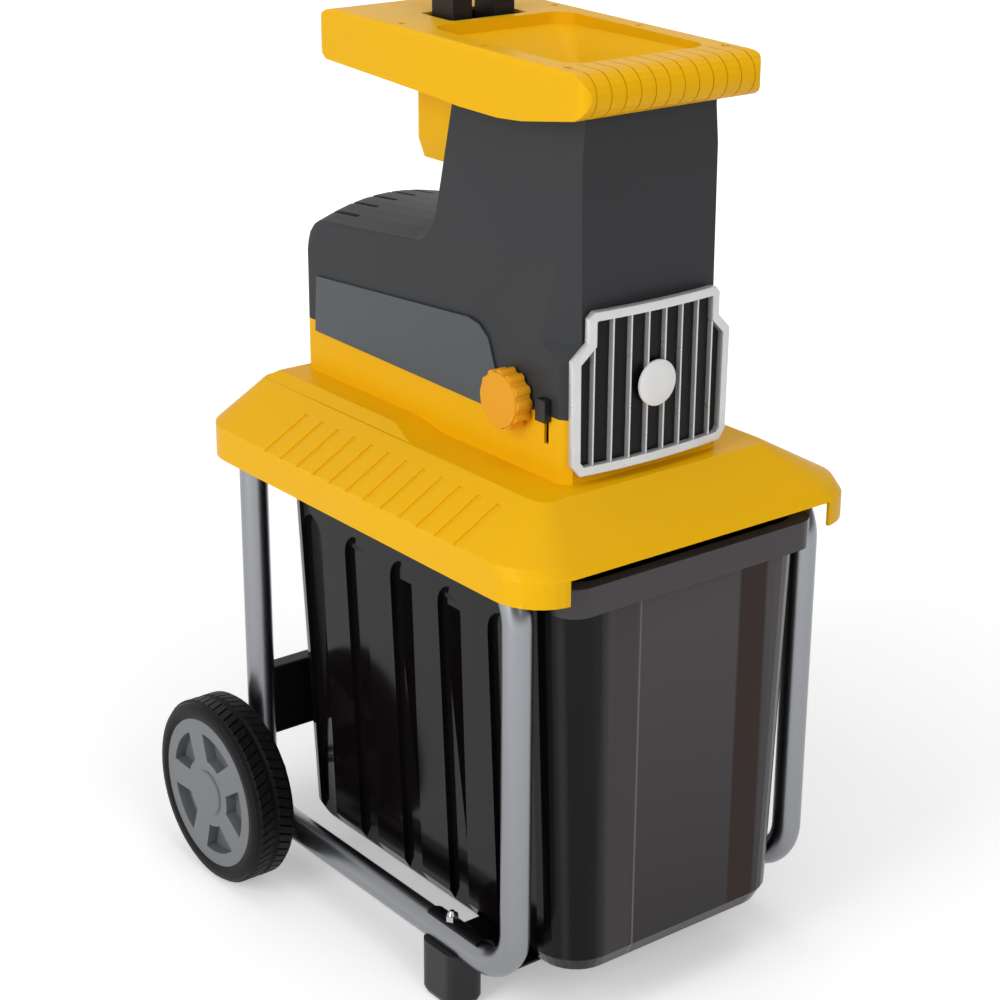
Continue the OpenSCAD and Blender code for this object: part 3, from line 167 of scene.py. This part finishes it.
# Moulded plastic: slow colour drift, uneven sheen and a fine spark-eroded grain
def moulded(name, colour, sheen, grain=1400.0, depth=0.00006, drift=0.05, coat=0.0, specular=0.5):
    material, tree, surface, place = start_material(name)
    slow = add_noise(tree, place, plastic_drift_scale, 3.0)
    fine = add_noise(tree, place, grain, 2.0)
    tree.links.new(uneven(tree, slow, colour, drift), surface.inputs["Base Color"])
    tree.links.new(spread(tree, slow, sheen - 0.05, sheen + 0.06), surface.inputs["Roughness"])
    surface.inputs["Specular IOR Level"].default_value = specular
    surface.inputs["Coat Weight"].default_value = coat
    surface.inputs["Coat Roughness"].default_value = coat_sheen
    add_bump(tree, surface, fine, plastic_bump, depth)
    return material


# Metal with a fine unevenness, drawn out into lines where it is stretched
def drawn_metal(name, colour, sheen, stretch=even_stretch, metallic=1.0, drift=0.08, depth=0.00004,
                wear=0.07):
    material, tree, surface, place = start_material(name)
    lines = add_noise(tree, place, metal_line_scale, 5.0, stretch)
    tree.links.new(uneven(tree, lines, colour, drift), surface.inputs["Base Color"])
    tree.links.new(spread(tree, lines, sheen - wear, sheen + wear), surface.inputs["Roughness"])
    surface.inputs["Metallic"].default_value = metallic
    add_bump(tree, surface, lines, metal_bump, depth)
    return material


# One where a coordinate lies between two places, fading out over a short way
def band(tree, value, low, high, fade):
    rise = ramp(tree, value, low - fade, low + fade)
    fall = ramp(tree, value, high + fade, high - fade)
    return product(tree, rise, fall)


# Smoked box: near-black fluted sides, and a front painted with a grey reflection of the floor that darkens
# towards the bottom, crossed by upright bands of painted reflection, painted shade, a painted highlight and the
# box's own brown
def smoked(name, sides, front, painted_bands):
    material, tree, surface, place = start_material(name)
    slow = add_noise(tree, place, box_drift_scale, 2.0)
    axes = split_axes(tree, place.outputs["Object"])
    on_front = ramp(tree, axes["Y"], *box_front_y)
    panel = product(tree, on_front, ramp(tree, axes["Z"], *box_lip_z))
    # Painted shade: the front's painted reflection darkens towards the bottom
    reflection_fade = product(tree, ramp(tree, axes["Z"], *box_reflection_fade_z), panel)
    wall = uneven(tree, slow, sides, 0.2)
    # The front colour is a painted grey reflection of the floor
    wall = paint_zone(tree, wall, on_front, front)
    wall = paint_zone(tree, wall, reflection_fade, shade(front, box_reflection_darkest))
    # Upright bands of painted reflection, painted shade, a painted highlight line and the box's own brown
    for low, high, fade, colour in painted_bands:
        stripe = product(tree, band(tree, axes["X"], low, high, fade), panel)
        wall = paint_zone(tree, wall, stripe, colour)
    tree.links.new(wall, surface.inputs["Base Color"])
    tree.links.new(spread(tree, slow, *box_sheen), surface.inputs["Roughness"])
    surface.inputs["Specular IOR Level"].default_value = box_specular
    return material


# Upright bands painted on the box's front: from X, to X, fade, colour. The first is a painted dark reflection at
# the rounded left corner, the second a dimmer painted reflection, the third a painted highlight line, and the
# last the box's own smoked brown where no painted reflection lies
box_painted_bands = (
    (-0.2, -0.1, 0.008, tint(3, 2, 2)),
    (-0.094, -0.063, 0.003, tint(60, 56, 58)),
    (-0.0615, -0.0595, 0.0004, tint(104, 98, 98)),
    (0.062, 0.096, 0.0015, tint(40, 20, 12)),
)
finishes = {
    "frame_silver": drawn_metal("satin_tube_metal", tint(140, 142, 146), 0.3, drift=0.01, depth=0.000001,
                                wear=0.01),
    "black_steel": moulded("black_coated_steel", tint(11, 11, 13), 0.4, grain=700.0, specular=0.16),
    "zinc_steel": drawn_metal("zinc_plate", tint(182, 184, 186), 0.24),
    "black_plastic": moulded("black_grained_plastic", tint(20, 21, 23), 0.42, specular=0.35),
    "tyre_rubber": moulded("tyre_rubber", tint(12, 12, 14), 0.5, grain=500.0, depth=0.00012, drift=0.12,
                           specular=0.15),
    "wheel_grey": moulded("wheel_grey_plastic", tint(106, 109, 112), 0.36, specular=0.4),
    "yellow_plastic": moulded("yellow_moulded_plastic", tint(234, 177, 4), 0.42, grain=1600.0, depth=0.00004,
                              drift=0.02, specular=0.13),
    # The smoked box's front colour is a painted grey reflection, and its bands hold painted reflection, painted
    # shade and a painted highlight
    "smoked_box": smoked("smoked_plastic_painted_reflection", tint(14, 11, 11), tint(70, 66, 68), box_painted_bands),
    "charcoal_plastic": moulded("charcoal_grained_plastic", tint(52, 53, 55), 0.5, grain=1200.0, specular=0.17),
    "panel_grey": drawn_metal("brushed_blue_grey_panel", tint(62, 69, 75), 0.4, (1, 0.04, 6), metallic=0.3),
    "grille_silver": drawn_metal("silver_painted_grille", tint(204, 205, 206), 0.32, metallic=0.5, drift=0.03,
                                 depth=0.00001),
    "badge_white": moulded("badge_blank_gloss", tint(228, 229, 229), 0.3, grain=900.0, depth=0.00002, drift=0.02,
                           coat=0.1),
    "screw_steel": drawn_metal("dark_screw_steel", tint(70, 70, 72), 0.35),
    "chute_plastic": moulded("dark_chute_plastic", tint(40, 40, 43), 0.5),
    "motor_paint": moulded("motor_grey_paint", tint(92, 94, 99), 0.4),
    "cast_metal": drawn_metal("cast_aluminium", tint(178, 178, 180), 0.5, drift=0.12),
    "core_steel": drawn_metal("machined_steel", tint(150, 150, 152), 0.32, (1, 8, 1)),
    "tool_steel": drawn_metal("ground_tool_steel", tint(112, 114, 118), 0.3, (1, 6, 1)),
    "knob_orange": moulded("knob_amber_plastic", tint(226, 156, 24), 0.45, specular=0.22),
    "capacitor_white": moulded("capacitor_can", tint(214, 214, 210), 0.35),
    "start_green": moulded("start_green_plastic", tint(40, 140, 62), 0.3),
    "stop_red": moulded("stop_red_plastic", tint(196, 34, 30), 0.3),
    "selector_grey": moulded("selector_grey_plastic", tint(112, 113, 116), 0.42),
}
for part in frame["record"]["subparts"]:
    mesh = nodes[part["node"]].data
    mesh.materials.clear()
    mesh.materials.append(finishes[part["material_slot"]])


# Camera and light

camera_turn, camera_lift, camera_roll = (math.radians(angle) for angle in (-37.974, 20.992, 0.303))
camera_place = (-1.33366, -1.69894, 1.26005)
camera_lens = 83.37
camera_sensor = 36.0
# Ambient light from left to right, and what shiny faces mirror from the rear to the front
ambient_fade = (-0.7, 0.6, 0.52, 0.26)
mirrored_fade = (0.35, -0.45, 1.0, 0.22)
# Name, place, aim, width, height and power of each soft light
soft_lights = (
    ("left_window", (-2.7, -0.35, 1.5), (0.0, 0.0, 0.5), 1.3, 2.2, 37.0),
    ("front_fill", (-0.4, -2.8, 1.9), (0.0, 0.0, 0.5), 1.6, 1.6, 22.0),
    ("top_soft", (0.2, -0.3, 2.9), (0.0, 0.0, 0.4), 2.0, 2.0, 16.0),
)
floor_size = 12.0
floor_z = -0.0005
# Distances and strengths of the floor's painted glow: weaker near the machine, stronger far off
floor_glow = (0.5, 2.4, 0.34, 0.8)


def place_camera():
    back = Vector((math.sin(camera_turn) * math.cos(camera_lift),
                   -math.cos(camera_turn) * math.cos(camera_lift), math.sin(camera_lift)))
    level = Vector((math.cos(camera_turn), math.sin(camera_turn), 0.0))
    upright = back.cross(level)
    right = level * math.cos(camera_roll) + upright * math.sin(camera_roll)
    up = upright * math.cos(camera_roll) - level * math.sin(camera_roll)
    data = bpy.data.cameras.new("photo_camera")
    data.sensor_width = camera_sensor
    data.lens = camera_lens
    data.clip_end = 50.0
    camera = bpy.data.objects.new("photo_camera", data)
    turned = Matrix((right, up, back)).transposed().to_4x4()
    camera.matrix_world = Matrix.Translation(camera_place) @ turned
    bpy.context.scene.collection.objects.link(camera)
    bpy.context.scene.camera = camera


def soft_light(name, place, target, width, height, power):
    data = bpy.data.lights.new(name, "AREA")
    data.shape = "RECTANGLE"
    data.size = width
    data.size_y = height
    data.energy = power
    light = bpy.data.objects.new(name, data)
    aim = (Vector(target) - Vector(place)).to_track_quat("-Z", "Y")
    light.matrix_world = Matrix.Translation(place) @ aim.to_matrix().to_4x4()
    bpy.context.scene.collection.objects.link(light)


# What the camera or clear plastic sees, and the same with what a mirror sees
def seen_directly(tree):
    path = tree.nodes.new("ShaderNodeLightPath")
    seen = larger(tree, path.outputs["Is Camera Ray"], path.outputs["Is Transmission Ray"])
    return seen, larger(tree, seen, path.outputs["Is Glossy Ray"])


# White sweep behind the machine, and a dimmer room on the right and in front of it
def light_studio():
    world = bpy.data.worlds.new("studio")
    world.use_nodes = True
    bpy.context.scene.world = world
    tree = world.node_tree
    place = tree.nodes.new("ShaderNodeTexCoord")
    axes = split_axes(tree, place.outputs["Generated"])
    ambient = tree.nodes["Background"]
    ambient.inputs["Color"].default_value = white
    tree.links.new(ramp(tree, axes["X"], *ambient_fade), ambient.inputs["Strength"])
    backdrop = tree.nodes.new("ShaderNodeBackground")
    backdrop.inputs["Color"].default_value = white
    by_camera, by_camera_or_mirror = seen_directly(tree)
    mirrored = ramp(tree, axes["Y"], *mirrored_fade)
    tree.links.new(larger(tree, by_camera, mirrored), backdrop.inputs["Strength"])
    mix = tree.nodes.new("ShaderNodeMixShader")
    tree.links.new(by_camera_or_mirror, mix.inputs["Fac"])
    tree.links.new(ambient.outputs["Background"], mix.inputs[1])
    tree.links.new(backdrop.outputs["Background"], mix.inputs[2])
    tree.links.new(mix.outputs["Shader"], tree.nodes["World Output"].inputs["Surface"])
    for light in soft_lights:
        soft_light(*light)


# Pale floor that fades into the white backdrop and keeps the soft shadow under the machine
def lay_floor():
    bpy.ops.mesh.primitive_plane_add(size=floor_size, location=(0.0, 0.0, floor_z))
    floor = bpy.context.object
    floor.name = "studio_floor"
    material, tree, surface, place = start_material("pale_floor")
    slow = add_noise(tree, place, 0.6, 2.0)
    pale = blend_colours(tree, slow, (0.93, 0.93, 0.93, 1.0), (0.95, 0.95, 0.95, 1.0))
    tree.links.new(pale, surface.inputs["Base Color"])
    surface.inputs["Roughness"].default_value = 0.9
    surface.inputs["Specular IOR Level"].default_value = 0.0
    reach = tree.nodes.new("ShaderNodeVectorMath")
    reach.operation = "LENGTH"
    tree.links.new(place.outputs["Object"], reach.inputs[0])
    # Painted glow for camera and mirror rays, weaker near the machine so the floor around it stays darker, and
    # white far away
    glow = ramp(tree, reach.outputs["Value"], *floor_glow)
    surface.inputs["Emission Color"].default_value = white
    tree.links.new(product(tree, glow, seen_directly(tree)[1]), surface.inputs["Emission Strength"])
    floor.data.materials.append(material)


# Modelling by hand

smooth_angle = math.radians(32.0)


def deselect():
    if bpy.context.mode != "OBJECT":
        bpy.ops.object.mode_set(mode="OBJECT")
    bpy.ops.object.select_all(action="DESELECT")


def work_on(piece):
    deselect()
    piece.select_set(True)
    bpy.context.view_layer.objects.active = piece


# Opens edit mode with only the faces picked that pass the test of centre and normal
def pick_faces(piece, test):
    work_on(piece)
    bpy.ops.object.mode_set(mode="EDIT")
    bpy.ops.mesh.select_mode(type="FACE")
    bpy.ops.mesh.select_all(action="DESELECT")
    bpy.ops.object.mode_set(mode="OBJECT")
    for face in piece.data.polygons:
        face.select = test(face.center, face.normal)
    bpy.ops.object.mode_set(mode="EDIT")


def apply_modifiers(piece):
    work_on(piece)
    for modifier in list(piece.modifiers):
        bpy.ops.object.modifier_apply(modifier=modifier.name)


def add_bevel(piece, name, width, angle, segments=2):
    bevel = piece.modifiers.new(name, "BEVEL")
    bevel.width = width
    bevel.segments = segments
    bevel.limit_method = "ANGLE"
    bevel.angle_limit = math.radians(angle)


def finish_piece(piece, slot, body, *stands_for):
    work_on(piece)
    bpy.ops.object.shade_smooth_by_angle(angle=smooth_angle)
    piece.data.materials.clear()
    piece.data.materials.append(finishes[slot])
    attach(piece, body)
    if stands_for:
        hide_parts(*stands_for)
    deselect()


# Tyres

axle_place = (0.0, 0.192, 0.1)
tyre_inner_x = 0.197
tyre_blocks = 60
# Section of the tyre in millimetres: distance out from its inner side, radius
tyre_section = [(2, 80.8), (0, 85), (0.6, 92), (3, 96), (6.5, 97.4), (22.5, 97.4), (24, 96), (26, 96),
                (27.5, 97.4), (43.5, 97.4), (47, 96), (49.4, 92), (50, 85), (48, 80.8)]
tread_radius = 0.0965
tread_rows = ((0.008, 0.021), (0.029, 0.042))
middle_groove = (0.0215, 0.0285)
block_slant = math.radians(4.0)
block_gap = 0.0011
block_height = 0.0022


# Tyre: a section turned about the axle, with two rows of slanted blocks raised on it
def model_tyre(side):
    word = "left" if side < 0 else "right"
    deselect()
    bpy.ops.mesh.primitive_circle_add(vertices=len(tyre_section), radius=0.05)
    tyre = bpy.context.object
    tyre.name = word + "_treaded_tyre"
    for corner, (out, radius) in zip(tyre.data.vertices, tyre_section):
        corner.co = (side * (tyre_inner_x + out / 1000), axle_place[1], axle_place[2] + radius / 1000)
    bpy.ops.object.mode_set(mode="EDIT")
    bpy.ops.mesh.select_all(action="SELECT")
    bpy.ops.mesh.spin(steps=tyre_blocks, angle=2 * math.pi, center=axle_place, axis=(1.0, 0.0, 0.0))
    bpy.ops.mesh.select_all(action="SELECT")
    bpy.ops.mesh.remove_doubles(threshold=0.00002)
    bpy.ops.mesh.normals_make_consistent(inside=False)
    bpy.ops.mesh.select_mode(type="VERT")
    bpy.ops.mesh.select_all(action="DESELECT")
    bpy.ops.object.mode_set(mode="OBJECT")
    for corner in tyre.data.vertices:
        corner.select = middle_groove[0] < abs(corner.co.x) - tyre_inner_x < middle_groove[1]
    bpy.ops.object.mode_set(mode="EDIT")
    bpy.ops.transform.rotate(value=block_slant, orient_axis="X", center_override=axle_place)

    def on_tread(centre, normal):
        out = abs(centre.x) - tyre_inner_x
        radius = math.hypot(centre.y - axle_place[1], centre.z - axle_place[2])
        return radius > tread_radius and any(low < out < high for low, high in tread_rows)

    bpy.ops.object.mode_set(mode="OBJECT")
    pick_faces(tyre, on_tread)
    bpy.ops.mesh.inset(thickness=block_gap, depth=block_height, use_individual=True)
    bpy.ops.object.mode_set(mode="OBJECT")
    finish_piece(tyre, "tyre_rubber", word + "_wheel", word + "_tyre")


# Grille

# Right half of the grille's outline in millimetres: X, Z
grille_half = [(84, 538), (92, 548), (93, 646), (77, 661), (77, 683), (71, 689)]
grille_width = 0.093
grille_back = -0.206
grille_bow = 0.007
frame_width = 0.0085
frame_depth = 0.007
frame_edge = 0.0011
bar_count = 8
bar_pitch = 0.02
bar_half = {True: 0.0008, False: 0.0015}
bar_reach = {True: 0.0058, False: -0.001}
bar_low = 0.5405
bar_high = 0.684
short_bar_high = 0.656
short_bar_x = 0.06
bar_edge = 0.0003
sheet_border = 0.004
sheet_cut = 0.0115
disc_radius = 0.0215
disc_depth = 0.0025
disc_forward = 0.0065
disc_z = 0.612


# How far the grille stands forward at a distance from its middle
def bowed(x):
    return grille_bow * (1.0 - (x / grille_width) ** 2)


# Flat sheet with the grille's outline, left in edit mode with all of it picked
def grille_sheet(name):
    outline = grille_half + [(-x, z) for x, z in reversed(grille_half)]
    deselect()
    bpy.ops.mesh.primitive_circle_add(vertices=len(outline), radius=0.05, fill_type="NGON")
    sheet = bpy.context.object
    sheet.name = name
    for corner, (x, z) in zip(sheet.data.vertices, outline):
        corner.co = (x / 1000, grille_back, z / 1000)
    sheet.matrix_world = Matrix.Identity(4)
    bpy.ops.object.mode_set(mode="EDIT")
    bpy.ops.mesh.select_all(action="SELECT")
    bpy.ops.mesh.normals_make_consistent(inside=False)
    return sheet


def bow_and_thicken(sheet, forward, depth, edge):
    bpy.ops.object.mode_set(mode="OBJECT")
    for corner in sheet.data.vertices:
        corner.co.y -= bowed(corner.co.x) + forward
    thick = sheet.modifiers.new("depth", "SOLIDIFY")
    thick.thickness = depth
    thick.offset = 0.0
    if edge:
        add_bevel(sheet, "soft_edges", edge, 40.0)
    apply_modifiers(sheet)


# One upright bar, thinner in front than behind, set at its place on the bow
def grille_bar(x):
    top = short_bar_high if abs(x) > short_bar_x else bar_high
    deselect()
    bpy.ops.mesh.primitive_cube_add(size=1.0)
    bar = bpy.context.object
    for corner in bar.data.vertices:
        front = corner.co.y < 0
        corner.co = (x + math.copysign(bar_half[front], corner.co.x),
                     grille_back - bowed(x) - bar_reach[front],
                     top if corner.co.z > 0 else bar_low)
    bpy.ops.object.mode_set(mode="EDIT")
    bpy.ops.mesh.select_all(action="SELECT")
    bpy.ops.mesh.bevel(offset=bar_edge, segments=1, affect="EDGES")
    bpy.ops.object.mode_set(mode="OBJECT")
    return bar


# Bowed frame with thin bars
def model_grille_frame():
    frame_ring = grille_sheet("bowed_grille")
    bpy.ops.mesh.inset(thickness=frame_width)
    bpy.ops.mesh.delete(type="ONLY_FACE")
    bpy.ops.mesh.select_all(action="SELECT")
    bpy.ops.mesh.subdivide(number_cuts=7)
    bow_and_thicken(frame_ring, frame_depth / 2, frame_depth, frame_edge)
    bars = [grille_bar((i - (bar_count - 1) / 2) * bar_pitch) for i in range(bar_count)]
    work_on(frame_ring)
    for bar in bars:
        bar.select_set(True)
    bpy.ops.object.join()
    finish_piece(frame_ring, "grille_silver", "machine", "front_grille")


# Dark sheet behind the bars, bowed like the frame: it stands for the black backing and for painted shade behind
# the grille
def model_grille_sheet():
    dark = grille_sheet("grille_backing_and_shade_sheet")
    bpy.ops.mesh.inset(thickness=sheet_border)
    bpy.ops.mesh.select_all(action="INVERT")
    bpy.ops.mesh.delete(type="FACE")
    for cut in range(-7, 8):
        bpy.ops.mesh.select_all(action="SELECT")
        bpy.ops.mesh.bisect(plane_co=(cut * sheet_cut, 0.0, 0.0), plane_no=(1.0, 0.0, 0.0))
    bow_and_thicken(dark, 0.0004, 0.0006, 0.0)
    finish_piece(dark, "black_steel", "machine")


# Plain domed disc on the bars
def model_grille_disc():
    deselect()
    bpy.ops.mesh.primitive_cylinder_add(vertices=48, radius=disc_radius, depth=disc_depth,
                                        location=(0.0, grille_back - grille_bow - disc_forward, disc_z),
                                        rotation=(math.radians(90.0), 0.0, 0.0))
    disc = bpy.context.object
    disc.name = "domed_grille_disc"
    bpy.ops.object.transform_apply(location=True, rotation=True, scale=True)
    pick_faces(disc, lambda centre, normal: normal.y < -0.9)
    bpy.ops.mesh.inset(thickness=0.0012, depth=0.0006)
    bpy.ops.mesh.inset(thickness=0.008, depth=0.0005)
    bpy.ops.object.mode_set(mode="OBJECT")
    finish_piece(disc, "badge_white", "machine", "grille_badge")


# Soft moulded edges on the solids that show: node and width
eased_edges = (
    ("base_cover", 0.0022), ("lower_housing", 0.0012), ("upper_housing", 0.0025), ("hopper_lower", 0.002),
    ("hopper_upper", 0.002), ("collection_box", 0.0018), ("left_trim_panel", 0.0006),
    ("right_trim_panel", 0.0006), ("left_foot", 0.0015), ("right_foot", 0.0015), ("plunger", 0.003),
    ("plunger_grip", 0.002), ("rear_cross_beam", 0.001), ("adjusting_knob", 0.0012), ("lock_slider", 0.0015),
    ("switch_box", 0.001), ("power_inlet", 0.0008),
)


def ease_edges(name, width):
    weld = nodes[name].modifiers.new("join_faces", "WELD")
    weld.merge_threshold = 0.00002
    add_bevel(nodes[name], "eased_edges", width, 28.0)


place_camera()
light_studio()
lay_floor()
bpy.context.scene.view_settings.view_transform = "Standard"
for side in (-1, 1):
    model_tyre(side)
model_grille_frame()
model_grille_sheet()
model_grille_disc()
for name, width in eased_edges:
    ease_edges(name, width)
